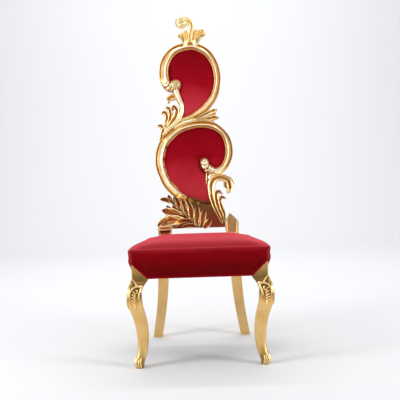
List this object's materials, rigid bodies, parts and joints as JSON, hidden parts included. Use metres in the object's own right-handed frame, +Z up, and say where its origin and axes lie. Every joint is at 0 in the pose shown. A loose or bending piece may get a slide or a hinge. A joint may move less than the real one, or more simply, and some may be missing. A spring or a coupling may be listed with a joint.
{
  "type": "throne",
  "caption": "Tall carved and gilded throne chair with a velvet seat, cabriole front legs and a narrow scrolled back holding velvet pads.",
  "frame": {"origin": "middle of the bounding box, on the floor that the four feet stand on", "axes": "+Z up, -Y towards the person in front of the throne, +X to the right as seen from the front"},
  "size_m": [0.6218, 0.685, 1.5907],
  "materials": {
    "gilt_wood": "carved wood with glossy gold leaf",
    "velvet": "crimson velvet",
    "lining": "thin black dust cover"
  },
  "bodies": {
    "root": {"back_frame": "gilt_wood", "back_pad_upper": "velvet", "back_pad_lower": "velvet", "front_leg_left": "gilt_wood", "front_leg_right": "gilt_wood", "rear_leg_left": "gilt_wood", "rear_leg_right": "gilt_wood", "seat_cushion": "velvet", "seat_piping": "velvet", "dust_cover": "lining"}
  },
  "joints": []
}
